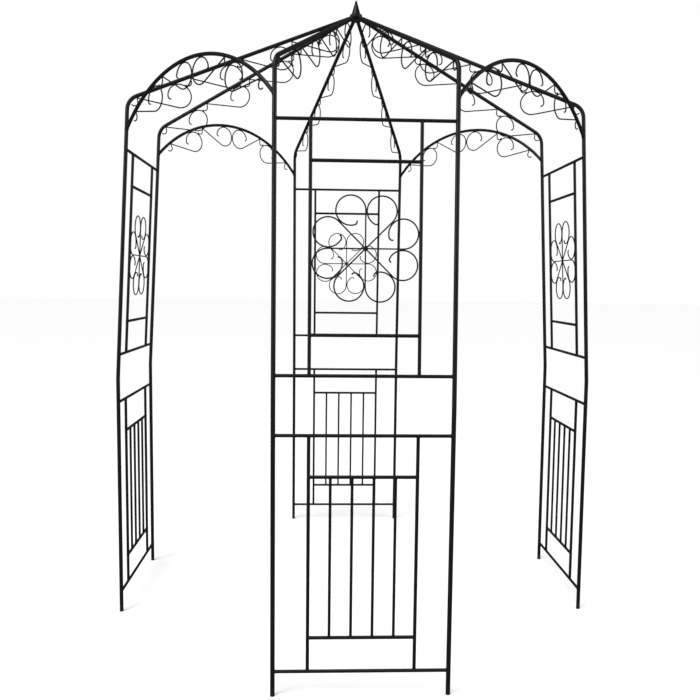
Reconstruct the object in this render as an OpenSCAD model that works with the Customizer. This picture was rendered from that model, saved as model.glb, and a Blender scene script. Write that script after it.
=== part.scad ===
// Round garden pavilion of black steel tube: four trellis panels, four arches between
// them and eight rafters that rise to a spike. Millimetres, Z up, with the origin on the
// ground at the middle. The front panel faces -Y; sides are named front, right, back and
// left, and a panel's own left and right are as seen from outside.

/* [Plan] */
// Distance between the post centre lines of opposite panels
span = 2000; // [1600:10:2600]
// Distance between the two posts of a panel
panel_w = 610; // [500:5:800]
// Distance between the two inner uprights of a panel
inner_w = 370; // [300:5:440]

/* [Lower panel] */
// Height of the bottom rail above the ground
bottom_rail_z = 87; // [60:1:150]
// Height of the lower panel's top rail
lower_top_rail_z = 912; // [800:2:1000]
// Gap from the bottom rail to the slatted field
lower_field_foot = 120; // [80:1:160]
// Gap from the slatted field to the lower panel's top rail
lower_field_head = 142; // [80:1:180]
// Number of slats in the field
slats = 4; // [2:1:6]

/* [Upper panel] */
// Distance from the lower panel's top rail up to the joint of the two panels
joint_gap = 101; // [60:1:150]
// Inward lean of the upper panels, in degrees
lean = 2.8; // [0:0.1:5]
// Distance from the joint up to the upper panel's bottom rail
upper_rail_gap = 101; // [60:1:150]
// Distance between the upper panel's bottom and top rails
upper_rails_h = 851; // [680:1:1030]
// Gap from each of these rails to the rosette field
upper_field_gap = 136; // [80:1:170]

/* [Roof] */
// Distance from the top rail up to where the arches spring
spring_gap = 78; // [30:1:110]
// Distance from there up to the end of the post, where the rafter's tube follows
post_end_gap = 30; // [26:1:80]
// Distance from the post's end up to the corner of post and rafter
corner_gap = 92; // [70:1:200]
// Radius of that corner, at the tube's centre line
corner_r = 65; // [60:1:90]
// Rise of the rafters from the corners to the hub
roof_rise = 445; // [300:5:600]
// Rise of the arches above their springing
arch_rise = 205; // [160:1:320]
// Height of the hub
hub_h = 24; // [22:1:50]
// Height of the spike on the hub
spike_h = 64; // [40:1:150]
// Diameter of the spike's foot
spike_d = 40; // [20:1:50]

/* [Tubes and wire] */
// Diameter of posts and rafters
post_d = 16; // [14:1:25]
// Diameter of rails and inner uprights
rail_d = 12; // [8:1:16]
// Diameter of the slats
slat_d = 10; // [6:1:14]
// Diameter of the arch tubes
arch_d = 14; // [10:1:20]
// Diameter of the scroll wire
wire_d = 5; // [3:0.5:8]

/* [Scrolls] */
// Radius of the large curls under arches and rafters
curl_r = 48; // [36:1:60]
// Radius of the small curls at their other ends
eye_r = 14; // [10:1:20]
// Radius of the hook in which a curl ends
hook_r = 11; // [7:1:15]
// Turn of a curl before its hook, in degrees
curl_turn = 285; // [240:1:300]
// Length of an arch scroll, from its bend to its large curl
arch_scroll = 138; // [110:1:180]
// Length of a rafter scroll, from its bend to its large curl
rafter_scroll = 164; // [120:1:200]
// Gap between the small curl of one scroll and the large curl of the next
scroll_gap = 0.8; // [0.5:0.1:12]
// Distance from the end of the corner's bend to the first rafter scroll
first_scroll_gap = 1; // [0:1:60]

/* [Hidden] */

FRONT = 0;
RIGHT = 1;
BACK = 2;
LEFT = 3;
L = -1;
R = 1;
$fn = 32;
arch_fn = 160;        // steps to a full turn in the arches
hub_margin = 0.6;     // how much wider the hub is than its rafters need
weld_bite = 0.4;      // how far a welded wire sinks into what carries it
rod_lap = 0.5;        // how far a step of a bent rod runs into the next
rod_hair = 0.1;       // how much thicker the next step is
hook_turn = 95;
wire_bend_r = 4;      // radius of a scroll's bend at the tube
eye_leg = 11;         // straight stretch between that bend and the eye
eye_a = 75;           // angle of that stretch to the tube
eye_turn = 150;
tube_color = [0.04, 0.04, 0.045];
post_r = post_d / 2;
rail_r = rail_d / 2;
wire_r = wire_d / 2;
joint_z = lower_top_rail_z + joint_gap;

// Places up the leaning panel, measured from the joint.
top_rail_s = upper_rail_gap + upper_rails_h;
spring_s = top_rail_s + spring_gap;
post_end_s = spring_s + post_end_gap;
corner_s = post_end_s + corner_gap;

// A point of the leaning upper panel's plane, x across and s up from the joint.
function upper_point(x, s) = [x, -span / 2 + s * sin(lean), joint_z + s * cos(lean)];
function unit(v) = v / norm(v);
function flat(v) = [v[0], v[1], 0];

// The hub is just wide enough for two neighbouring rafters to stand side by side on it,
// and a rafter's centre line runs into it by the rafter's own radius.
corner = upper_point(panel_w / 2, corner_s);
pair_angle = 2 * atan2(corner[0], -corner[1]);
hub_r = post_r / sin(pair_angle / 2) + hub_margin;
hub_z = corner[2] + roof_rise;
function rafter_foot(hand) = upper_point(hand * panel_w / 2, corner_s);
function rafter_head(hand) = unit(flat(rafter_foot(hand))) * (hub_r - post_r) + [0, 0, hub_z];

// A plane's frame: origin o, local X along x_dir and local Y nearest to y_dir.
module in_plane(o, x_dir, y_dir) {
    x = unit(x_dir);
    z = unit(cross(x, y_dir));
    y = cross(z, x);
    multmatrix([
        [x[0], y[0], z[0], o[0]],
        [x[1], y[1], z[1], o[1]],
        [x[2], y[2], z[2], o[2]],
        [0, 0, 0, 1]
    ]) children();
}

// A round bar from a to b.
module bar(a, b, d) {
    v = b - a;
    translate(a) rotate([0, acos(v[2] / norm(v)), atan2(v[1], v[0])]) cylinder(h = norm(v), d = d);
}

// A bent rod of diameter d that starts at the origin along +X. A step of one number is a
// straight length, and a step of two is a radius and a turn, to the left if positive.
// Each step runs a short way into the next one, which is a hair thicker.
module rod(d, steps, i = 0) {
    if (i < len(steps)) {
        step = steps[i];
        lap = i < len(steps) - 1 ? rod_lap : 0;
        if (len(step) == 1) {
            rotate([0, 90, 0]) cylinder(h = step[0] + lap, d = d);
            translate([step[0], 0, 0]) rod(d + rod_hair, steps, i + 1);
        } else {
            r = step[0];
            turn = abs(step[1]);
            lap_turn = lap / r * 180 / PI;
            mirror([0, step[1] < 0 ? 1 : 0, 0]) {
                translate([0, r, 0]) rotate(-90) rotate_extrude(angle = turn + lap_turn)
                    translate([r, 0]) circle(d = d);
                translate([0, r, 0]) rotate(turn) translate([0, -r, 0])
                    mirror([0, step[1] < 0 ? 1 : 0, 0]) rod(d + rod_hair, steps, i + 1);
            }
        }
    }
}

// A tube from a to b to c is bent to a radius r, which starts and ends a setback from b.
function turn_at(a, b, c) = acos(unit(b - a) * unit(c - b));
function setback(a, b, c, r) = r * tan(turn_at(a, b, c) / 2);

module bent_tube(a, b, c, r, d) {
    back = setback(a, b, c, r);
    in_plane(a, b - a, c - b)
        rod(d, [[norm(b - a) - back], [r, turn_at(a, b, c)], [norm(c - b) - back]]);
}

module at_side(side) {
    rotate(90 * side) children();
}

// Stand a flat drawing (x across, y up) in a lower panel, from the ground up, and in a
// leaning upper panel, from the joint up.
module in_lower_panel() {
    in_plane([0, -span / 2, 0], [1, 0, 0], [0, 0, 1]) children();
}
module in_upper_panel() {
    in_plane(upper_point(0, 0), [1, 0, 0], upper_point(0, 1) - upper_point(0, 0)) children();
}

// The steps of a curl of radius r, which ends in a hook.
function curl(r) = [[r, curl_turn], [hook_r, hook_turn]];

// A scroll is one wire. It starts in a small curl, the eye, climbs to a tight bend that
// touches the tube at the origin, and runs down into a large curl, which touches the tube
// too. These are the eye's centre and its least distance from another scroll's curl centre.
eye_centre = wire_bend_r * [-sin(eye_a), cos(eye_a) - 1] - eye_leg * [cos(eye_a), sin(eye_a)]
    + eye_r * [-sin(eye_a), cos(eye_a)];
eye_to_curl = curl_r + wire_d + eye_r + scroll_gap;

// Where a walk along the steps of a rod leads, from x, y and a heading.
function ahead(at, step) =
    len(step) == 1
    ? [at[0] + step[0] * cos(at[2]), at[1] + step[0] * sin(at[2]), at[2]]
    : let (r = step[0] * sign(step[1]), out = at[2] + step[1])
      [at[0] + r * (sin(out) - sin(at[2])), at[1] - r * (cos(out) - cos(at[2])), out];
function walk(at, steps, i = 0) = i < len(steps) ? walk(ahead(at, steps[i]), steps, i + 1) : at;

// A scroll that hangs below the X axis, with its large curl about c.
module scroll(c) {
    from_bend = c + [0, wire_bend_r];
    radii = curl_r + wire_bend_r;
    run_a = atan2(from_bend[1], from_bend[0]) - asin(radii / norm(from_bend));
    run = sqrt(from_bend * from_bend - radii * radii);
    eye = [[eye_r, eye_turn], [eye_leg]];
    top = walk([0, 0, 0], concat(eye, [[wire_bend_r, -eye_a]]));
    rotate(-top[2]) translate([-top[0], -top[1], 0])
        rod(wire_d, concat(eye, [[wire_bend_r, run_a - eye_a], [run]], curl(curl_r)));
}

// ---- panels ----

// A panel's frame, drawn flat: two posts, two rails between them, two inner uprights
// between the rails, and two cross bars between those at the ends of the field.
module panel_frame(posts, rails, field) {
    for (hand = [L, R]) {
        bar([hand * panel_w / 2, posts[0], 0], [hand * panel_w / 2, posts[1], 0], post_d);
        bar([hand * inner_w / 2, rails[0], 0], [hand * inner_w / 2, rails[1], 0], rail_d);
    }
    for (s = rails) bar([-panel_w / 2, s, 0], [panel_w / 2, s, 0], rail_d);
    for (s = field) bar([-inner_w / 2, s, 0], [inner_w / 2, s, 0], rail_d);
}

module lower_panel(side) {
    field = [bottom_rail_z + lower_field_foot, lower_top_rail_z - lower_field_head];
    slat_step = inner_w / (slats + 1);
    color(tube_color) at_side(side) in_lower_panel() union() {
        panel_frame([0, joint_z], [bottom_rail_z, lower_top_rail_z], field);
        for (i = [1 : slats])
            bar([i * slat_step - inner_w / 2, field[0], 0], [i * slat_step - inner_w / 2, field[1], 0],
                slat_d);
    }
}

// The leaning posts are cut level where they stand on the lower panel's posts.
module upper_panel(side) {
    field = [upper_rail_gap + upper_field_gap, top_rail_s - upper_field_gap];
    color(tube_color) at_side(side) difference() {
        in_upper_panel() union()
            panel_frame([-post_d * tan(lean), post_end_s], [upper_rail_gap, top_rail_s], field);
        translate([-panel_w, -span / 2 - post_d, joint_z - post_d])
            cube([2 * panel_w, 2 * post_d, post_d]);
    }
}

// Eight wires from one middle, each ending in a curl. The curls reach the inner uprights
// and each other's spokes: reach = spoke + loop_r, and a loop touches the next spoke.
module rosette(side) {
    spokes = 8;
    reach = inner_w / 2 - rail_r - wire_r + weld_bite;
    touch = (wire_d - weld_bite) * sqrt(2);
    loop_r = (reach - touch) / (2 + sqrt(2));
    spoke = reach - loop_r;
    color(tube_color) at_side(side) in_upper_panel()
        translate([0, (upper_rail_gap + top_rail_s) / 2]) union()
            for (i = [0 : spokes - 1]) rotate(i * 360 / spokes) {
                rotate(90) rod(wire_d, concat([[spoke]], curl(loop_r)));
            }
}

// ---- roof ----

module hub_body() {
    translate([0, 0, hub_z - hub_h / 2]) cylinder(h = hub_h, r = hub_r);
}

module rafter(side, hand) {
    foot = upper_point(hand * panel_w / 2, post_end_s);
    color(tube_color) at_side(side) difference() {
        union() bent_tube(foot, rafter_foot(hand), rafter_head(hand), corner_r, post_d);
        hub_body();
    }
}

module rafter_scroll_set(side, hand) {
    a = rafter_foot(hand);
    b = rafter_head(hand);
    below = -post_r - wire_r + weld_bite;
    first = setback(upper_point(hand * panel_w / 2, 0), a, b, corner_r) + first_scroll_gap;
    eye_drop = curl_r + eye_centre[1];
    step = rafter_scroll + sqrt(eye_to_curl * eye_to_curl - eye_drop * eye_drop) - eye_centre[0];
    spare = norm(b - a) - post_r - first - rafter_scroll - curl_r;
    color(tube_color) at_side(side) in_plane(a, b - a, [0, 0, 1])
        for (i = [0 : floor(spare / step)])
            translate([first + i * step, below, 0]) union() scroll([rafter_scroll, -curl_r]);
}

module roof_hub() {
    color(tube_color) hub_body();
}

module finial_spike() {
    tip_d = 8;
    foot_h = 3;
    color(tube_color) translate([0, 0, hub_z + hub_h / 2]) {
        cylinder(h = foot_h, d = spike_d);
        translate([0, 0, foot_h]) cylinder(h = spike_h - foot_h - tip_d / 2, d1 = spike_d, d2 = tip_d);
        translate([0, 0, spike_h - tip_d / 2]) sphere(d = tip_d);
    }
}

// ---- arches ----

// An arch's plane: from a panel's right post to the next panel's left post, with its
// origin at the middle of the chord, X along it and Y up.
spring_a = upper_point(panel_w / 2, spring_s);
spring_b = [-spring_a[1], -spring_a[0], spring_a[2]];
arch_chord = norm(spring_b - spring_a);
arch_r = (arch_chord * arch_chord / 4 + arch_rise * arch_rise) / (2 * arch_rise);
arch_half = asin(arch_chord / 2 / arch_r);

module in_arch_plane(side) {
    at_side(side) in_plane((spring_a + spring_b) / 2, spring_b - spring_a, [0, 0, 1])
        translate([0, arch_rise - arch_r]) children();
}

module arch_posts() {
    bar(upper_point(panel_w / 2, 0), upper_point(panel_w / 2, post_end_s), post_d);
    rotate(90) bar(upper_point(-panel_w / 2, 0), upper_point(-panel_w / 2, post_end_s), post_d);
}

module arch(side) {
    color(tube_color) difference() {
        in_arch_plane(side) rotate(90 - arch_half) rotate_extrude(angle = 2 * arch_half, $fn = arch_fn)
            translate([arch_r, 0]) circle(d = arch_d, $fn = 32);
        at_side(side) arch_posts();
    }
}

// Two scrolls on each half of the arch, mirrored about its middle, where the curls all but
// meet. Angles are measured from the arch's crown.
module arch_scroll_set(side) {
    wire_line = arch_r - arch_d / 2 - wire_r + weld_bite;
    curl_line = wire_line - curl_r;
    first_a = asin((curl_r + wire_r + scroll_gap / 2) / curl_line);
    run_turn = arch_scroll / wire_line * 180 / PI;
    eye_at = [-eye_centre[0], wire_line + eye_centre[1]];
    eye_line = norm(eye_at);
    curl_to_eye_a = acos((eye_line * eye_line + curl_line * curl_line - eye_to_curl * eye_to_curl)
        / (2 * eye_line * curl_line));
    step_turn = run_turn + atan2(eye_at[0], eye_at[1]) + curl_to_eye_a;
    color(tube_color) in_arch_plane(side)
        for (flip = [0, 1]) mirror([flip, 0, 0])
            for (i = [0, 1])
                rotate(first_a + run_turn + i * step_turn) translate([0, wire_line]) union()
                    scroll([curl_line * sin(run_turn), curl_line * cos(run_turn) - wire_line]);
}

lower_panel(FRONT);  // front_lower_panel
lower_panel(RIGHT);  // right_lower_panel
lower_panel(BACK);  // back_lower_panel
lower_panel(LEFT);  // left_lower_panel
upper_panel(FRONT);  // front_upper_panel
upper_panel(RIGHT);  // right_upper_panel
upper_panel(BACK);  // back_upper_panel
upper_panel(LEFT);  // left_upper_panel
rosette(FRONT);  // front_rosette
rosette(RIGHT);  // right_rosette
rosette(BACK);  // back_rosette
rosette(LEFT);  // left_rosette
rafter(FRONT, L);  // front_left_rafter
rafter(FRONT, R);  // front_right_rafter
rafter(RIGHT, L);  // right_left_rafter
rafter(RIGHT, R);  // right_right_rafter
rafter(BACK, L);  // back_left_rafter
rafter(BACK, R);  // back_right_rafter
rafter(LEFT, L);  // left_left_rafter
rafter(LEFT, R);  // left_right_rafter
rafter_scroll_set(FRONT, L);  // front_left_rafter_scrolls
rafter_scroll_set(FRONT, R);  // front_right_rafter_scrolls
rafter_scroll_set(RIGHT, L);  // right_left_rafter_scrolls
rafter_scroll_set(RIGHT, R);  // right_right_rafter_scrolls
rafter_scroll_set(BACK, L);  // back_left_rafter_scrolls
rafter_scroll_set(BACK, R);  // back_right_rafter_scrolls
rafter_scroll_set(LEFT, L);  // left_left_rafter_scrolls
rafter_scroll_set(LEFT, R);  // left_right_rafter_scrolls
arch(FRONT);  // front_right_arch
arch(RIGHT);  // back_right_arch
arch(BACK);  // back_left_arch
arch(LEFT);  // front_left_arch
arch_scroll_set(FRONT);  // front_right_arch_scrolls
arch_scroll_set(RIGHT);  // back_right_arch_scrolls
arch_scroll_set(BACK);  // back_left_arch_scrolls
arch_scroll_set(LEFT);  // front_left_arch_scrolls
roof_hub();
finial_spike();
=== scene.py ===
# %% [markdown]
# # A round garden pavilion of black steel tube
#
# Four trellis panels stand in a ring, four arches join them, and eight rafters with wire
# scrolls rise to a hub with a spike. The steel is exact already: it comes from the CAD
# model, one object for each named piece, and it stays as it is. Blender adds what that
# model leaves out. These are the welds that hold the pieces together, the seams where
# tubes are sleeved into each other, the black coat, the light and the camera.

# %% Load the model
import math
import bpy
from mathutils import Matrix, Vector


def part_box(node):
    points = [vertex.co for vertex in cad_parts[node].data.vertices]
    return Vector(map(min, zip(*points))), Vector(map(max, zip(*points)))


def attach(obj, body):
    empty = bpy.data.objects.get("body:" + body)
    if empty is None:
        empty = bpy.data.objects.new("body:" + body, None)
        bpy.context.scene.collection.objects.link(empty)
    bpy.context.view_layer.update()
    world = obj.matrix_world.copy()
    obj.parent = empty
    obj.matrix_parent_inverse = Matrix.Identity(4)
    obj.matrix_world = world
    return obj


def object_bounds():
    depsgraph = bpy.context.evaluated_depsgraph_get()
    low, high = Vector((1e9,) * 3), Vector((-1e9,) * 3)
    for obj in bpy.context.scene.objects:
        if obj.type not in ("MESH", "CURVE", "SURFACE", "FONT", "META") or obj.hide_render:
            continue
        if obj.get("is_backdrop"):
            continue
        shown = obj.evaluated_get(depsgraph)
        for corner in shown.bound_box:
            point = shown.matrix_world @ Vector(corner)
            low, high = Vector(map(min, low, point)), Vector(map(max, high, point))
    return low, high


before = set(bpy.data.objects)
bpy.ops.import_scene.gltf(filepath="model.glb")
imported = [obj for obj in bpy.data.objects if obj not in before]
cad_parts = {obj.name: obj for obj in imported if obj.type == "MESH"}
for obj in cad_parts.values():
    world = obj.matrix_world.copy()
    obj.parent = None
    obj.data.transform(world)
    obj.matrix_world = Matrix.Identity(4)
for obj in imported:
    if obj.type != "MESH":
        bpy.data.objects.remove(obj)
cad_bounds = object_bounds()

scene = bpy.context.scene
print(len(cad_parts), "pieces of steel, up to", round(cad_bounds[1].z, 3), "m tall")

# %% [markdown]
# ## Where the camera stands
#
# The camera stands at eye height in front of one panel, a little to its left, and looks
# slightly down. It could be aimed with a tracking constraint, but the small tilt to one
# side would be lost, so its three turns are given as angles and multiplied together.

# %% Camera
EYE = Vector((-0.1455, -3.5279, 1.4221))
TURN_RIGHT, TILT_UP, ROLL = 0.03813, -0.0868, 0.01069  # radians
SENSOR, LENS = 36, 39.17  # millimetres

camera = bpy.data.objects.new("camera", bpy.data.cameras.new("camera"))
camera.data.sensor_width, camera.data.lens = SENSOR, LENS
camera.matrix_world = (
    Matrix.Translation(EYE)
    @ Matrix.Rotation(-TURN_RIGHT, 4, "Z")
    @ Matrix.Rotation(math.pi / 2 + TILT_UP, 4, "X")
    @ Matrix.Rotation(ROLL, 4, "Z")
)
scene.collection.objects.link(camera)
scene.camera = camera
print("camera at", tuple(round(v, 2) for v in EYE))

# %% [markdown]
# ## Building node trees in code
#
# Both the geometry trees and the materials below are made of nodes. They could be wired
# by hand in the node editor, but then this file couldn't be read or run from top to
# bottom. One helper adds a node, sets its plain inputs and links the others, so that a
# tree reads like a formula, from the inside out.

# %% Node helpers
FLOAT, GEOMETRY, MATERIAL = "NodeSocketFloat", "NodeSocketGeometry", "NodeSocketMaterial"


def put(tree, kind, inputs=(), **settings):
    """Adds a node. An input that is given another node's socket is linked to it."""
    node = tree.nodes.new(kind)
    for name, value in settings.items():
        setattr(node, name, value)
    for name, value in dict(inputs).items():
        if isinstance(value, bpy.types.NodeSocket):
            tree.links.new(value, node.inputs[name])
        else:
            node.inputs[name].default_value = value
    return node


def calculator(tree):
    """A shorthand for Math nodes: calc("MULTIPLY", a, b) is a socket with the result."""
    def calc(operation, a, b=0.0):
        return put(tree, "ShaderNodeMath", {0: a, 1: b}, operation=operation).outputs[0]
    return calc


def new_tree(name, kind, sockets_in, sockets_out):
    """A node tree with named inputs and outputs, given as (name, type, default)."""
    tree = bpy.data.node_groups.new(name, kind)
    for way, sockets in (("INPUT", sockets_in), ("OUTPUT", sockets_out)):
        for label, socket_type, *default in sockets:
            item = tree.interface.new_socket(label, in_out=way, socket_type=socket_type)
            if default:
                item.default_value = default[0]
    given = tree.nodes.new("NodeGroupInput").outputs
    out = tree.nodes.new("NodeGroupOutput").inputs
    return tree, given, out


print("helpers ready: put, calculator and new_tree")

# %% [markdown]
# ## The black coat
#
# The tubes are powder coated. Melted powder sets to a satin skin, with dust where it
# faces up and scuffs near the ground. Every tube, wire and weld has the same coat, so its
# effects are shader node groups: each is built once, and every material sets its strength.
#
# Noise drives all of them. It reads Object coordinates, which need no unwrapping, and
# because no piece is moved or scaled they are simply metres in the pavilion.

# %% Noise and masks
NOISE_MIDDLE = 0.5


def noise(tree, scale, detail, roughness=0.5):
    """Noise in the object's own metres, with about this many lumps to the metre."""
    place = put(tree, "ShaderNodeTexCoord").outputs["Object"]
    return put(tree, "ShaderNodeTexNoise", {
        "Vector": place, "Scale": scale, "Detail": detail, "Roughness": roughness}).outputs["Fac"]


def fade(tree, value, low, high, start=0.0, end=1.0):
    """Goes evenly from start, where the value is low, to end, where it is high."""
    return put(tree, "ShaderNodeMapRange", {
        "Value": value, "From Min": low, "From Max": high,
        "To Min": start, "To Max": end}).outputs["Result"]


print("noise is measured in lumps to the metre")

# %% [markdown]
# ### Orange peel
#
# Powder doesn't flow out quite flat, so the skin keeps a fine dimpled texture like that of
# an orange. Displacing real vertices would take millions of them. Bump costs next to
# nothing, and is enough for dimples a fraction of a millimetre deep. Soft waves give the
# cells, and a little finer noise gives the grain of the powder itself.

# %% Orange peel group
SPECKS_TO_A_CELL, SPECK_SHARE = 4.3, 0.2

peel, given, out = new_tree(
    "orange_peel", "ShaderNodeTree", [("Cell Size", FLOAT, 0.002)], [("Height", FLOAT)])
calc = calculator(peel)
cells = calc("DIVIDE", 1.0, given["Cell Size"])
waves = noise(peel, cells, 1.0, 0.4)
specks = noise(peel, calc("MULTIPLY", cells, SPECKS_TO_A_CELL), 2.0)
height = calc("ADD", calc("MULTIPLY", waves, 1 - SPECK_SHARE), calc("MULTIPLY", specks, SPECK_SHARE))
peel.links.new(height, out["Height"])
print(peel.name, "has", len(peel.nodes), "nodes")

# %% [markdown]
# ### Uneven gloss
#
# The oven heats a frame unevenly, so the skin is slightly glossier in some places than in
# others. One roughness all over looks like plastic. Large soft patches of noise, centred
# on zero so that the average stays as set, move the roughness up and down a little.

# %% Uneven gloss group
gloss, given, out = new_tree(
    "uneven_gloss", "ShaderNodeTree",
    [("Roughness", FLOAT, 0.45), ("Spread", FLOAT, 0.1), ("Patch Size", FLOAT, 0.05)],
    [("Roughness", FLOAT)])
calc = calculator(gloss)
patches = noise(gloss, calc("DIVIDE", 1.0, given["Patch Size"]), 4.0, 0.6)
swing = calc("MULTIPLY", calc("SUBTRACT", patches, NOISE_MIDDLE), given["Spread"])
gloss.links.new(calc("ADD", given["Roughness"], swing), out["Roughness"])
print(gloss.name, "has", len(gloss.nodes), "nodes")

# %% [markdown]
# ### Settled dust
#
# Outdoors, dust settles on whatever faces up: the tops of rails, rafters and curls. It
# could be painted by hand on each piece, but the surface normal already knows which way a
# face looks. Its upward part makes the mask, and noise breaks that into drifts.

# %% Settled dust group
DRIFTS_TO_A_METRE = 38.0
SLOPE_BARE, SLOPE_DUSTY = 0.35, 0.95
DRIFT_THIN, DRIFT_FULL = 0.35, 0.7

dust, given, out = new_tree(
    "settled_dust", "ShaderNodeTree", [("Amount", FLOAT, 0.1)], [("Mask", FLOAT)])
calc = calculator(dust)
normal = put(dust, "ShaderNodeNewGeometry").outputs["Normal"]
upward = put(dust, "ShaderNodeSeparateXYZ", {0: normal}).outputs["Z"]
faces_up = fade(dust, upward, SLOPE_BARE, SLOPE_DUSTY)
drifts = fade(dust, noise(dust, DRIFTS_TO_A_METRE, 5.0, 0.65), DRIFT_THIN, DRIFT_FULL)
dust.links.new(
    calc("MULTIPLY", calc("MULTIPLY", faces_up, drifts), given["Amount"]), out["Mask"])
print(dust.name, "has", len(dust.nodes), "nodes")

# %% [markdown]
# ### Scuffed feet
#
# The feet are set down on paving and dragged about, so their last few centimetres are
# scratched. Height above the ground is a plain coordinate here, so it fades the scratches
# out upwards. Fine noise cut off sharply leaves marks with crisp edges, as scratches have.

# %% Scuffed feet group
MARKS_TO_A_METRE = 420.0
MARK_EDGE, MARK_FULL = 0.5, 0.62

scuff, given, out = new_tree(
    "scuffed_feet", "ShaderNodeTree",
    [("Amount", FLOAT, 0.3), ("Height", FLOAT, 0.05)], [("Mask", FLOAT)])
calc = calculator(scuff)
place = put(scuff, "ShaderNodeTexCoord").outputs["Object"]
above_ground = put(scuff, "ShaderNodeSeparateXYZ", {0: place}).outputs["Z"]
near_ground = fade(scuff, above_ground, 0.0, given["Height"], start=1.0, end=0.0)
marks = fade(scuff, noise(scuff, MARKS_TO_A_METRE, 6.0, 0.7), MARK_EDGE, MARK_FULL)
scuff.links.new(
    calc("MULTIPLY", calc("MULTIPLY", near_ground, marks), given["Amount"]), out["Mask"])
print(scuff.name, "has", len(scuff.nodes), "nodes")

# %% [markdown]
# ### The coat itself
#
# The shader stays in each material, and the groups feed only its colour, roughness and
# normal. Four materials share the recipe: the tubes, the thinner wire, the turned spike,
# and the welds, where the powder lies thicker and smoother over a rough bead. A function
# makes them all, so that a change to the recipe reaches every one.

# %% Coat materials
BLACK = (0.0045, 0.0045, 0.005, 1)
DUST = (0.10, 0.095, 0.085, 1)
BARE = (0.08, 0.075, 0.07, 1)
SPECULAR_LEVEL = 0.3
PEEL_DEPTH = 0.0003
SCUFF_AMOUNT, SCUFF_HEIGHT = 0.5, 0.035
GLOSS_SPREAD, GLOSS_PATCH = 0.16, 0.06


def cover(tree, mask, under, over):
    """One colour over another. A Mix node's colour sockets are known by number only."""
    mix = put(tree, "ShaderNodeMix", {"Factor": mask, 6: under, 7: over}, data_type="RGBA")
    return mix.outputs[2]


def black_coat(name, roughness, cell, bump, dusty):
    """The coat, with the size of its peel cells in metres and the strength of each effect."""
    material = bpy.data.materials.new(name)
    material.use_nodes = True
    tree = material.node_tree
    shader = tree.nodes["Principled BSDF"]
    shader.inputs["Specular IOR Level"].default_value = SPECULAR_LEVEL

    def effect(group, **inputs):
        settings = {key.replace("_", " "): value for key, value in inputs.items()}
        return put(tree, "ShaderNodeGroup", settings, node_tree=group).outputs[0]

    worn = cover(tree, effect(scuff, Amount=SCUFF_AMOUNT, Height=SCUFF_HEIGHT), BLACK, BARE)
    colour = cover(tree, effect(dust, Amount=dusty), worn, DUST)
    sheen = effect(gloss, Roughness=roughness, Spread=GLOSS_SPREAD, Patch_Size=GLOSS_PATCH)
    skin = put(tree, "ShaderNodeBump", {
        "Strength": bump, "Distance": PEEL_DEPTH, "Height": effect(peel, Cell_Size=cell)})
    tree.links.new(colour, shader.inputs["Base Color"])
    tree.links.new(sheen, shader.inputs["Roughness"])
    tree.links.new(skin.outputs["Normal"], shader.inputs["Normal"])
    return material


coats = {
    "tube": black_coat("tube_coat", roughness=0.42, cell=0.0022, bump=0.5, dusty=0.16),
    "wire": black_coat("wire_coat", roughness=0.46, cell=0.0014, bump=0.4, dusty=0.12),
    "spike": black_coat("spike_coat", roughness=0.36, cell=0.0026, bump=0.45, dusty=0.12),
}
weld_coat = black_coat("weld_coat", roughness=0.38, cell=0.0030, bump=0.7, dusty=0.14)

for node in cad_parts.values():
    for slot in node.material_slots:
        slot.material = coats[slot.material.name]
print("coats:", ", ".join(sorted(coats)), "and welds")

# %% [markdown]
# ## Laying out the joints
#
# A weld needs to know where it sits, which way the tube runs that carries it, and which
# way the welded bar leaves that tube. All of that follows from the stock sizes and a few
# main lines, in metres. The overall places are measured on the CAD model, and the ones
# that a box can't give are written here. Heights on a panel are measured from the panel's
# own foot, so that the upper one can lean as a whole.

# %% Stock sizes and main lines
POST_R, ARCH_R, RAIL_R, SLAT_R, WIRE_R = 0.008, 0.007, 0.006, 0.005, 0.0025
HALF_PANEL, HALF_INNER, SLAT_STEP = 0.305, 0.185, 0.074
LEAN = math.radians(2.8)
LOWER_RAILS, LOWER_FIELD = (0.087, 0.912), (0.207, 0.770)
UPPER_RAILS, UPPER_FIELD = (0.101, 0.952), (0.237, 0.816)
SPRING, POST_END, CORNER = 1.030, 1.060, 1.152
BITE = 0.0004  # how deep a wire is sunk into the steel that carries it

panel_low, panel_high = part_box("front_lower_panel")
HALF_SPAN, JOINT_Z = -(panel_low.y + panel_high.y) / 2, panel_high.z
hub_low, hub_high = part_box("roof_hub")
HUB_R, HUB_Z = hub_high.x, (hub_low.z + hub_high.z) / 2
print("upper panels stand at", round(JOINT_Z, 3), "m, the hub sits at", round(HUB_Z, 3),
      "m and has a radius of", round(HUB_R * 1000, 1), "mm")

# %% [markdown]
# ### One eighth, turned and mirrored
#
# The pavilion is the same in all its eight halves of a panel. Mirror and Array modifiers
# could repeat the welds, but the upper panels lean, and a chain of modifiers on leaning
# pieces is hard to follow. So each joint is worked out once, in the right half of the
# front panel and the arch beside it. A list of matrices then turns and mirrors its place
# and its directions together.

# %% Turning one eighth all round
X, Y, Z = Vector((1, 0, 0)), Vector((0, 1, 0)), Vector((0, 0, 1))
TURNS = [Matrix.Rotation(math.radians(90 * side), 4, "Z") for side in range(4)]
EIGHTHS = [turn @ Matrix.Diagonal((hand, 1, 1, 1)) for turn in TURNS for hand in (1, -1)]
LOWER = Matrix.Translation((0, -HALF_SPAN, 0))
UPPER = Matrix.Translation((0, -HALF_SPAN, JOINT_Z)) @ Matrix.Rotation(-LEAN, 4, "X")


def copies(spots, places):
    """Copies of (point, direction the tube runs, direction it is welded in) by matrices."""
    return [(m @ at, (m.to_3x3() @ along).normalized(), (m.to_3x3() @ facing).normalized())
            for m in places for at, along, facing in spots]


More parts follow.
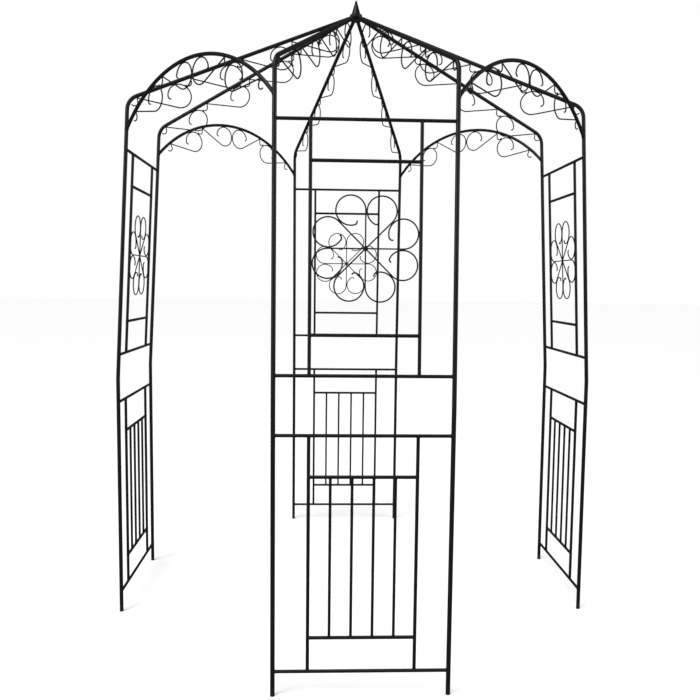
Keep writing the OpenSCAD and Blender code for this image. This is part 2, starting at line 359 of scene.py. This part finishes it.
def on_panel(x, height):
    """A point in a panel's own plane, before the panel is stood in its place."""
    return Vector((x, 0, height))


def frame_joints(plane, rails, field):
    """Welds of one panel's right half: rails on the post, then bars as thick as their rail."""
    on_post = [(on_panel(HALF_PANEL, h), Z, -X) for h in rails]
    on_rail = [(on_panel(HALF_INNER, h), Z, -X) for h in field]
    on_rail += [(on_panel(HALF_INNER, h), X, way * Z) for h, way in zip(rails, (1, -1))]
    return copies(on_post, [plane]), copies(on_rail, [plane])


lower_post, lower_rail = frame_joints(LOWER, LOWER_RAILS, LOWER_FIELD)
upper_post, upper_rail = frame_joints(UPPER, UPPER_RAILS, UPPER_FIELD)
slat_ends = copies(
    [(on_panel(x, h), X, way * Z) for x in (SLAT_STEP / 2, SLAT_STEP * 1.5)
     for h, way in zip(LOWER_FIELD, (1, -1))], [LOWER])
in_half = lower_post + upper_post + lower_rail + upper_rail + slat_ends
print(len(in_half), "joints in half a panel")

# %% [markdown]
# ### Joints at a slant
#
# The arch springs from the leaning post at a slant, and so does the rafter from the hub.
# For these the angle between the two tubes is measured as well, because the seam where
# one tube is cut to sit on the other becomes a longer loop as the angle gets sharper.

# %% Arch joint
def slanted(at, along, bar):
    """A joint where the bar leaves the tube at a slant, and the angle between the two."""
    angle = along.angle(bar)
    return (at, along, (bar - bar.dot(along) * along).normalized()), angle


post_up = (UPPER.to_3x3() @ Z).normalized()
spring = UPPER @ on_panel(HALF_PANEL, SPRING)
other_spring = Vector((-spring.y, -spring.x, spring.z))
chord = (other_spring - spring).length
across = (other_spring - spring).normalized()
arch_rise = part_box("front_right_arch")[1].z - ARCH_R - spring.z
arch_r = (chord ** 2 / 4 + arch_rise ** 2) / (2 * arch_rise)
arch_middle = (spring + other_spring) / 2 + Z * (arch_rise - arch_r)
arch_half = math.asin(chord / 2 / arch_r)
arch_start = across * math.cos(arch_half) + Z * math.sin(arch_half)
arch_end, arch_angle = slanted(spring, post_up, arch_start)
print("arches meet posts at", round(math.degrees(arch_angle), 1), "deg")

# %% [markdown]
# ### Rafters on the hub
#
# A rafter runs straight from the post's corner to the hub's side, so two points give its
# direction. The seam is measured from where the middle lines of bar and tube cross, so
# the rafter's line is followed inwards to the hub's axis.

# %% Hub joint
corner = UPPER @ on_panel(HALF_PANEL, CORNER)
outwards = Vector((corner.x, corner.y, 0)).normalized()
rafter_head = outwards * (HUB_R - POST_R) + Z * HUB_Z
rafter_down = (corner - rafter_head).normalized()
on_axis = rafter_head - rafter_down * (HUB_R - POST_R) / rafter_down.dot(outwards)
hub_joint, hub_angle = slanted(on_axis, Z, rafter_down)
print("rafters meet the hub at", round(math.degrees(hub_angle), 1), "deg")

# %% [markdown]
# ## Weld beads
#
# Where a round bar is cut to sit on a round tube, the seam is a saddle-shaped loop, and
# the welder lays a rippled bead along it. Modelling each bead by hand would take days, and
# a boolean would give the seam but not the bead. The loop has an exact formula, so a
# geometry tree bends a circle into it, sweeps the bead along it, and puts a copy on every
# joint. Noise with a fixed seed then makes each copy slightly different.
#
# The formula is this: walk round the bar, and for each of its lines find the point where
# it runs into the tube. The tube stands along Z and the bar leaves it towards X.

# %% Loops and sweeps
def circle(tree, steps, radius):
    return put(tree, "GeometryNodeCurvePrimitiveCircle", {
        "Resolution": steps, "Radius": radius}).outputs["Curve"]


def way_round(tree):
    """How far along its loop a point is, as an angle."""
    factor = put(tree, "GeometryNodeSplineParameter").outputs["Factor"]
    return calculator(tree)("MULTIPLY", factor, math.tau)


def rippled_sweep(tree, path, section, ripples, depth):
    """Sweeps the section along a loop, swelling it a little at each of the ripples."""
    calc = calculator(tree)
    wave = calc("SINE", calc("MULTIPLY", way_round(tree), ripples))
    return put(tree, "GeometryNodeCurveToMesh", {
        "Curve": path, "Profile Curve": section,
        "Scale": calc("ADD", 1.0, calc("MULTIPLY", wave, depth))}).outputs[0]


print("helpers ready: circle, way_round and rippled_sweep")

# %% Weld bead tree
LOOP_STEPS, BEAD_SIDES, RIPPLES = 64, 8, 16.0

bead_tree, given, out = new_tree("weld_bead", "GeometryNodeTree", [
    ("Joints", GEOMETRY), ("Tube Radius", FLOAT, 0.008), ("Bar Radius", FLOAT, 0.006),
    ("Angle", FLOAT, math.pi / 2), ("Bead Radius", FLOAT, 0.0013), ("Ripple", FLOAT, 0.12),
    ("Unevenness", FLOAT, 0.0005), ("Seed", FLOAT, 1.0), ("Coat", MATERIAL)],
    [("Beads", GEOMETRY)])
calc = calculator(bead_tree)
turn = way_round(bead_tree)
side = calc("MULTIPLY", given["Bar Radius"], calc("SINE", turn))
top = calc("MULTIPLY", given["Bar Radius"], calc("COSINE", turn))
tube_square = calc("MULTIPLY", given["Tube Radius"], given["Tube Radius"])
inside = calc("SUBTRACT", tube_square, calc("MULTIPLY", side, side))
out_x = calc("SQRT", calc("MAXIMUM", inside, 0.0))
sine, cosine = calc("SINE", given["Angle"]), calc("COSINE", given["Angle"])
along_bar = calc("DIVIDE", calc("SUBTRACT", out_x, calc("MULTIPLY", top, cosine)), sine)
up_z = calc("SUBTRACT", calc("MULTIPLY", along_bar, cosine), calc("MULTIPLY", top, sine))
on_seam = put(bead_tree, "ShaderNodeCombineXYZ", {"X": out_x, "Y": side, "Z": up_z}).outputs[0]
saddle = put(bead_tree, "GeometryNodeSetPosition", {
    "Geometry": circle(bead_tree, LOOP_STEPS, 1.0), "Position": on_seam}).outputs[0]
section = circle(bead_tree, BEAD_SIDES, given["Bead Radius"])
bead = rippled_sweep(bead_tree, saddle, section, RIPPLES, given["Ripple"])
print(bead_tree.name, "has", len(bead_tree.nodes), "nodes so far")

# %% [markdown]
# ### A copy on every joint
#
# All the small pieces end the same way, so the last steps of their trees are one function.
# It turns a copy to each joint's two directions, makes the copies real geometry, pushes
# the surface in and out by noise, and gives it the coat. The noise reads the place in the
# whole pavilion, so no two copies come out alike.

# %% Copies on joints
LUMPS_TO_A_METRE = 260.0


def direction(tree, name):
    """A direction that every joint carries with it."""
    return put(tree, "GeometryNodeInputNamedAttribute", {"Name": name},
               data_type="FLOAT_VECTOR").outputs["Attribute"]


def place_and_finish(tree, shape, given, out, scale=None):
    """Puts the shape on every point, makes the copies real and uneven, and coats them."""
    facing = put(tree, "FunctionNodeAxesToRotation", {
        "Primary Axis": direction(tree, "along"), "Secondary Axis": direction(tree, "facing")},
        primary_axis="Z", secondary_axis="X")
    placed = put(tree, "GeometryNodeInstanceOnPoints", {
        "Points": given[0], "Instance": shape, "Rotation": facing.outputs[0]})
    if scale:
        tree.links.new(scale, placed.inputs["Scale"])
    real = put(tree, "GeometryNodeRealizeInstances", {"Geometry": placed.outputs[0]}).outputs[0]
    lumps = put(tree, "ShaderNodeTexNoise", {
        "Vector": put(tree, "GeometryNodeInputPosition").outputs[0], "W": given["Seed"],
        "Scale": LUMPS_TO_A_METRE, "Detail": 1.0}, noise_dimensions="4D").outputs["Fac"]
    calc = calculator(tree)
    push = calc("MULTIPLY", calc("SUBTRACT", lumps, NOISE_MIDDLE), given["Unevenness"])
    offset = put(tree, "ShaderNodeVectorMath", {
        0: put(tree, "GeometryNodeInputNormal").outputs[0], "Scale": push},
        operation="SCALE").outputs[0]
    uneven = put(tree, "GeometryNodeSetPosition", {"Geometry": real, "Offset": offset}).outputs[0]
    smooth = put(tree, "GeometryNodeSetShadeSmooth", {"Geometry": uneven}).outputs[0]
    coated = put(tree, "GeometryNodeSetMaterial", {
        "Geometry": smooth, "Material": given["Coat"]}).outputs[0]
    tree.links.new(coated, out[0])
    print(tree.name, "is finished with", len(tree.nodes), "nodes")


place_and_finish(bead_tree, bead, given, out)

# %% [markdown]
# ### From points to a finished piece
#
# A tree does nothing until a modifier runs it on an object. Here that object is only a
# handful of loose points, which carry their two directions as attributes. The result is
# kept as a plain mesh and the points are thrown away. Each kind of weld is one piece,
# because a piece for every bead would make hundreds of objects that never part.

# %% Growing a piece
def grow(name, tree, spots, slot, **sizes):
    """Runs a tree on joints and keeps the result as one piece that rides on the root."""
    points = bpy.data.meshes.new(name + "_points")
    points.from_pydata([at for at, _, _ in spots], [], [])
    for column, label in ((1, "along"), (2, "facing")):
        data = points.attributes.new(label, "FLOAT_VECTOR", "POINT").data
        data.foreach_set("vector", [c for spot in spots for c in spot[column]])
    maker = bpy.data.objects.new(name + "_maker", points)
    modifier = maker.modifiers.new(tree.name, "NODES")
    modifier.node_group = tree
    sizes["Coat"] = weld_coat
    for item in tree.interface.items_tree:
        if item.in_out == "INPUT" and item.name.replace(" ", "_") in sizes:
            modifier[item.identifier] = sizes[item.name.replace(" ", "_")]
    scene.collection.objects.link(maker)
    result = maker.evaluated_get(bpy.context.evaluated_depsgraph_get())
    piece = bpy.data.objects.new(name, bpy.data.meshes.new_from_object(result))
    # Copies that were realized before they had a coat leave an empty slot in front of it.
    piece.data.materials.clear()
    piece.data.materials.append(weld_coat)
    bpy.data.objects.remove(maker)
    scene.collection.objects.link(piece)
    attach(piece, "root")
    print(name, "-", len(spots), "places,", len(piece.data.polygons), "faces")
    return piece


# %% [markdown]
# ### Beads on every joint
#
# Five kinds of joint differ only in their two radii, their angle and how fat a bead the
# welder lays. Each kind is one call. The slats get the thinnest bead, and the hub, which
# carries the whole roof, the fattest.

# %% Beads
grow("rail_welds", bead_tree, copies(lower_post + upper_post, EIGHTHS), "tube",
     Tube_Radius=POST_R, Bar_Radius=RAIL_R, Bead_Radius=0.0014, Seed=1.0)
grow("upright_welds", bead_tree, copies(lower_rail + upper_rail, EIGHTHS), "tube",
     Tube_Radius=RAIL_R, Bar_Radius=RAIL_R, Bead_Radius=0.0012, Seed=2.0)
grow("slat_welds", bead_tree, copies(slat_ends, EIGHTHS), "tube",
     Tube_Radius=RAIL_R, Bar_Radius=SLAT_R, Bead_Radius=0.0011, Seed=3.0)
grow("arch_welds", bead_tree, copies([arch_end], EIGHTHS), "tube",
     Tube_Radius=POST_R, Bar_Radius=ARCH_R, Angle=arch_angle, Bead_Radius=0.0017, Seed=4.0)
grow("hub_welds", bead_tree, copies([hub_joint], EIGHTHS), "tube",
     Tube_Radius=HUB_R, Bar_Radius=POST_R, Angle=hub_angle, Bead_Radius=0.0019, Seed=5.0)

# %% [markdown]
# ## Tack welds on the wire
#
# A scroll is one bent wire. It is tacked to its rafter or arch where its tight bend and
# its large curl touch the tube, and to the next scroll where its small eye meets that
# scroll's curl. A tack is a small blob of metal that fills the groove beside the wire.
# Finding the spots by eye would be slow and a little wrong every time. They follow from
# how the wire was bent, so the same bends are worked out here.

# %% How a scroll is bent
CURL_R, EYE_R, BEND_R = 0.048, 0.014, 0.004
EYE_LEG = 0.011  # the short straight between the tight bend and the eye
GAP = 0.0008  # left between an eye and the next curl, and bridged by a tack
EYE_TURN = math.radians(75)

leg_way = Vector((math.cos(EYE_TURN), math.sin(EYE_TURN)))
leg_square = Vector((-math.sin(EYE_TURN), math.cos(EYE_TURN)))
eye = (leg_square - Vector((0, 1))) * BEND_R - leg_way * EYE_LEG + leg_square * EYE_R
eye_to_curl = CURL_R + 2 * WIRE_R + EYE_R + GAP


def between(curl, eye_at, x_dir, y_dir, origin):
    """The tack between a large curl and the eye beside it, from their centres in a plane."""
    way = (eye_at - curl).normalized()
    at = curl + way * (CURL_R + WIRE_R + GAP / 2)
    facing = x_dir * way.x + y_dir * way.y
    return origin + x_dir * at.x + y_dir * at.y, x_dir * -way.y + y_dir * way.x, facing


print("an eye's middle lies", round(eye.length * 1000, 1), "mm from the tight bend")

# %% [markdown]
# ### Along a rafter
#
# Four scrolls hang in a row under each rafter. The row could be spaced by a plain number,
# but what sets the distance on the real one is that each eye just reaches the curl before
# it. The line between their middles and its drop are known, so the third side of that
# right triangle gives the step.

# %% Tacks under a rafter
RAFTER_SCROLL, FIRST_GAP, CORNER_R, SCROLLS = 0.164, 0.001, 0.065, 4

up_rafter = (rafter_head - corner).normalized()
rafter_top = up_rafter.cross(Z).normalized().cross(up_rafter)
first = CORNER_R * math.tan(post_up.angle(up_rafter) / 2) + FIRST_GAP
eye_drop = CURL_R + eye.y
rafter_step = RAFTER_SCROLL + math.sqrt(eye_to_curl ** 2 - eye_drop ** 2) - eye.x
wire_depth = -POST_R - WIRE_R + BITE

rafter_tacks = []
for i in range(SCROLLS):
    start = first + i * rafter_step
    for x in (start, start + RAFTER_SCROLL):
        rafter_tacks.append(
            (corner + up_rafter * x - rafter_top * POST_R, up_rafter, rafter_top))
    if i:
        curl = Vector((start - rafter_step + RAFTER_SCROLL, wire_depth - CURL_R))
        eye_at = Vector((start, wire_depth)) + eye
        rafter_tacks.append(between(curl, eye_at, up_rafter, rafter_top, corner))
print("a rafter's scrolls repeat every", round(rafter_step * 1000), "mm")

# %% [markdown]
# ### Round an arch
#
# Inside an arch the same kind of scroll follows a circle, two to each side, and the upper
# two meet at the crown. Lengths along the tube become angles here. The step comes from a
# triangle again, this time with the arch's centre as its third corner.

# %% Tacks inside an arch
ARCH_SCROLL, SCROLLS_TO_A_SIDE = 0.138, 2

wire_line = arch_r - ARCH_R - WIRE_R + BITE
curl_line = wire_line - CURL_R
first_turn = math.asin((CURL_R + WIRE_R + GAP / 2) / curl_line)
run_turn = ARCH_SCROLL / wire_line
eye_at = Vector((-eye.x, wire_line + eye.y))
eye_turn = math.atan2(eye_at.x, eye_at.y)
curl_to_eye = math.acos(
    (eye_at.length_squared + curl_line ** 2 - eye_to_curl ** 2) / (2 * eye_at.length * curl_line))
step_turn = run_turn + eye_turn + curl_to_eye


def from_crown(turn, radius):
    """A point in the arch's plane, turned from its crown towards the front panel."""
    return Vector((-math.sin(turn), math.cos(turn))) * radius


arch_tacks = []
for i in range(SCROLLS_TO_A_SIDE):
    curl_turn = first_turn + i * step_turn
    for turn in (curl_turn, curl_turn + run_turn):
        radial = from_crown(turn, 1)
        outward = across * radial.x + Z * radial.y
        run = across * radial.y - Z * radial.x
        arch_tacks.append((arch_middle + outward * (arch_r - ARCH_R), run, outward))
lower_curl = from_crown(first_turn + step_turn, curl_line)
upper_eye = from_crown(first_turn + run_turn + eye_turn, eye_at.length)
arch_tacks.append(between(lower_curl, upper_eye, across, Z, arch_middle))
crown_tack = (arch_middle + Z * curl_line * math.cos(first_turn), Z, across)
print("an arch of radius", round(arch_r, 3), "m has scrolls every",
      round(math.degrees(step_turn), 1), "deg")

# %% [markdown]
# ### Tacks in a rosette
#
# A rosette is eight curled spokes in a ring. Each loop is welded to its neighbour, two of
# them touch the inner uprights, and the spokes meet in one larger blob in the middle. The
# loops have to fill the space between the uprights, so their radius follows from it.

# %% Rosette tacks
SPOKES = 8
SPOKE_TURN = 360 / SPOKES

reach = HALF_INNER - RAIL_R - WIRE_R + BITE
loop_r = (reach - (2 * WIRE_R - BITE) * math.sqrt(2)) / (2 + math.sqrt(2))

rosette_tacks = []
for i in range(SPOKES):
    spoke = math.radians(90 + SPOKE_TURN * (i + 1))
    run = on_panel(math.cos(spoke), math.sin(spoke))
    square = on_panel(math.sin(spoke), -math.cos(spoke))
    rosette_tacks.append((run * reach / math.sqrt(2) + square * WIRE_R, run, square))
for way in (1, -1):
    rosette_tacks.append((on_panel(way * (HALF_INNER - RAIL_R), way * loop_r), Z, way * X))
rosette_place = UPPER @ Matrix.Translation((0, 0, sum(UPPER_RAILS) / 2))
ROSETTES = [turn @ rosette_place for turn in TURNS]
rosette_heart = (Vector((0, 0, 0)), X, Y)
print("rosette loops have radius", round(loop_r * 1000, 1), "mm")

# %% [markdown]
# ### The tack's shape
#
# Such a blob is smaller than a pea, and there are 176 of them, so a few dozen faces have
# to do. A coarse sphere is squashed to the tack's depth, width and length, each copy is
# made slightly larger or smaller with a fixed seed, and the shared noise dents it.

# %% Tack tree
BALL_SEGMENTS, BALL_RINGS = 14, 9
SMALLEST, LARGEST, SIZE_SEED = 0.85, 1.15, 11

tack_tree, given, out = new_tree("tack_weld", "GeometryNodeTree", [
    ("Joints", GEOMETRY), ("Length", FLOAT, 0.009), ("Width", FLOAT, 0.0064),
    ("Depth", FLOAT, 0.0026), ("Unevenness", FLOAT, 0.0009), ("Seed", FLOAT, 1.0),
    ("Coat", MATERIAL)], [("Tacks", GEOMETRY)])
calc = calculator(tack_tree)
ball = put(tack_tree, "GeometryNodeMeshUVSphere", {
    "Segments": BALL_SEGMENTS, "Rings": BALL_RINGS, "Radius": 0.5}).outputs["Mesh"]
vary = put(tack_tree, "FunctionNodeRandomValue", {
    2: SMALLEST, 3: LARGEST, "Seed": SIZE_SEED}, data_type="FLOAT").outputs[1]
size = put(tack_tree, "ShaderNodeCombineXYZ", {
    "X": given["Depth"], "Y": calc("MULTIPLY", given["Width"], vary),
    "Z": calc("MULTIPLY", given["Length"], vary)}).outputs[0]
place_and_finish(tack_tree, ball, given, out, scale=size)

# %% [markdown]
# ### Tacks on every scroll and rosette
#
# All the tacks could be one piece, but scrolls and rosettes are separate parts of the
# object, and whoever uses the model may want one without the other. Each kind has its own.

# %% Tacks
arch_spots = copies(arch_tacks, EIGHTHS) + copies([crown_tack], TURNS)
grow("rafter_scroll_tacks", tack_tree, copies(rafter_tacks, EIGHTHS), "wire", Seed=6.0)
grow("arch_scroll_tacks", tack_tree, arch_spots, "wire", Seed=7.0)
grow("rosette_tacks", tack_tree, copies(rosette_tacks, ROSETTES), "wire",
     Length=0.0075, Width=0.0054, Seed=8.0)
grow("rosette_hearts", tack_tree, copies([rosette_heart], ROSETTES), "wire",
     Length=0.017, Width=0.017, Depth=0.0075, Unevenness=0.0014, Seed=9.0)

# %% [markdown]
# ## Seams, rims and the spike's foot
#
# The upper panels plug into the lower ones, and the rafters into the post ends. Where two
# such tubes meet, the coat bridges the seam in a thin raised line. The hub's two edges are
# rolled, and the spike's foot is welded down all round. A torus for each would do, but
# these are all rings, so one small tree makes them, with ripples only for the weld.

# %% Ring tree
RING_STEPS, RING_SIDES = 96, 10

ring_tree, given, out = new_tree("ring", "GeometryNodeTree", [
    ("Places", GEOMETRY), ("Radius", FLOAT, 0.008), ("Thickness", FLOAT, 0.001),
    ("Ripple", FLOAT, 0.0), ("Ripples", FLOAT, 40.0), ("Unevenness", FLOAT, 0.0),
    ("Seed", FLOAT, 1.0), ("Coat", MATERIAL)], [("Rings", GEOMETRY)])
calc = calculator(ring_tree)
path = circle(ring_tree, RING_STEPS, given["Radius"])
section = circle(ring_tree, RING_SIDES, calc("MULTIPLY", given["Thickness"], 0.5))
ring = rippled_sweep(ring_tree, path, section, given["Ripples"], given["Ripple"])
place_and_finish(ring_tree, ring, given, out)

# %% [markdown]
# ### Seam lines, rims and a weld
#
# A ring that lay on the steel would look like a wire laid round it. Each ring's middle
# lies a little inside instead, so that only a low crest shows, as it does where a thick
# coat has run over an edge.

# %% Rings
SEAM_SUNK, RIM_SUNK = 0.0002, 0.0007  # how far a ring's middle lies inside the steel

post_foot = (UPPER @ on_panel(HALF_PANEL, 0), Z, X)
post_head = (UPPER @ on_panel(HALF_PANEL, POST_END), post_up, X)
grow("sleeve_seams", ring_tree, copies([post_foot, post_head], EIGHTHS), "tube",
     Radius=POST_R - SEAM_SUNK, Thickness=0.0011, Unevenness=0.0002, Seed=10.0)
grow("hub_rims", ring_tree, [(Z * hub_low.z, Z, X), (Z * hub_high.z, Z, X)], "tube",
     Radius=HUB_R - RIM_SUNK, Thickness=0.0016, Unevenness=0.0001, Seed=11.0)
spike_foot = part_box("finial_spike")[1].x
grow("spike_weld", ring_tree, [(Z * hub_high.z, Z, X)], "spike",
     Radius=spike_foot, Thickness=0.0026, Ripple=0.12, Unevenness=0.0005, Seed=12.0)

# %% [markdown]
# ## The floor
#
# Thin black tubes show best against white. A real studio has a curved paper sweep, but
# here a flat pale floor is enough if it runs out far enough for its edge to be lost in
# the white sky. Mirrored in the satin coat it would turn the black tubes grey, so
# reflections don't see it.

# %% Floor
HALF_FLOOR = 60.0
PALE, FLOOR_ROUGHNESS, FLOOR_SPECULAR = (0.92, 0.92, 0.92, 1), 0.9, 0.1

floor = bpy.data.objects.new("floor", bpy.data.meshes.new("floor"))
floor.data.from_pydata(
    [(x, y, 0) for x, y in ((-1, -1), (1, -1), (1, 1), (-1, 1))], [], [(0, 1, 2, 3)])
floor.data.transform(Matrix.Scale(HALF_FLOOR, 4))
scene.collection.objects.link(floor)
paint = bpy.data.materials.new("pale_floor")
paint.use_nodes = True
finish = paint.node_tree.nodes["Principled BSDF"].inputs
finish["Base Color"].default_value = PALE
finish["Roughness"].default_value = FLOOR_ROUGHNESS
finish["Specular IOR Level"].default_value = FLOOR_SPECULAR
floor.data.materials.append(paint)
floor.visible_glossy = False
floor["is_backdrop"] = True
print("the floor is", round(2 * HALF_FLOOR), "m wide")

# %% [markdown]
# ## The sky
#
# The sky has three jobs that want three strengths. Seen directly it has to be pure white,
# as light for the floor it is softer, and mirrored in the coat it has to be dim, as if
# black cards hung around the pavilion. Light Path tells the world shader which kind of
# ray is asking, so one background can answer all three.

# %% Sky
SKY_SEEN, SKY_LIGHT, SKY_MIRRORED = 1.0, 0.65, 0.12

world = bpy.data.worlds.new("white_sky")
world.use_nodes = True
scene.world = world
sky = world.node_tree
ray = put(sky, "ShaderNodeLightPath").outputs
calc = calculator(sky)
brighter = calc("MULTIPLY", ray["Is Camera Ray"], SKY_SEEN - SKY_LIGHT)
dimmer = calc("MULTIPLY", ray["Is Glossy Ray"], SKY_LIGHT - SKY_MIRRORED)
strength = calc("SUBTRACT", calc("ADD", SKY_LIGHT, brighter), dimmer)
backdrop = sky.nodes["Background"]
backdrop.inputs["Color"].default_value = (1, 1, 1, 1)
sky.links.new(strength, backdrop.inputs["Strength"])
scene.view_settings.view_transform = "Standard"
print("the sky is", SKY_SEEN, "seen,", SKY_LIGHT, "as light and", SKY_MIRRORED, "mirrored")

# %% [markdown]
# ## Sun and softboxes
#
# White all round would leave the tubes as flat silhouettes. A sun seen through thin cloud,
# which is a very wide one, gives the feet a faint shadow to stand on. Two softboxes, one
# on each side and one stronger than the other, draw a long highlight down every tube.

# %% Lamps
AIM = Vector((0, 0, 1.2))


def lamp(name, kind, place, energy, **settings):
    light = bpy.data.lights.new(name, kind)
    light.energy = energy
    for key, value in settings.items():
        setattr(light, key, value)
    holder = bpy.data.objects.new(name, light)
    holder.location = place
    holder.rotation_mode = "QUATERNION"
    holder.rotation_quaternion = (AIM - Vector(place)).to_track_quat("-Z", "Y")
    scene.collection.objects.link(holder)


lamp("soft_sun", "SUN", (-2.5, -3.0, 7.0), energy=1.7, angle=math.radians(35))
lamp("left_softbox", "AREA", (-4.5, -4.0, 3.2), energy=130, size=2.4)
lamp("right_softbox", "AREA", (4.8, -2.5, 3.0), energy=90, size=2.0)
print("three lamps are up")

# %% [markdown]
# ## Measure and finish
#
# The welds stand under two millimetres proud of the steel, so the finished model fills
# nearly the same box as the CAD model. How far each corner of the box has moved is printed.

# %% Finish
visual_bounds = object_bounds()
grown = [round((b - a).length * 1000, 2) for a, b in zip(cad_bounds, visual_bounds)]
print("grew by", grown, "mm at its two corners")
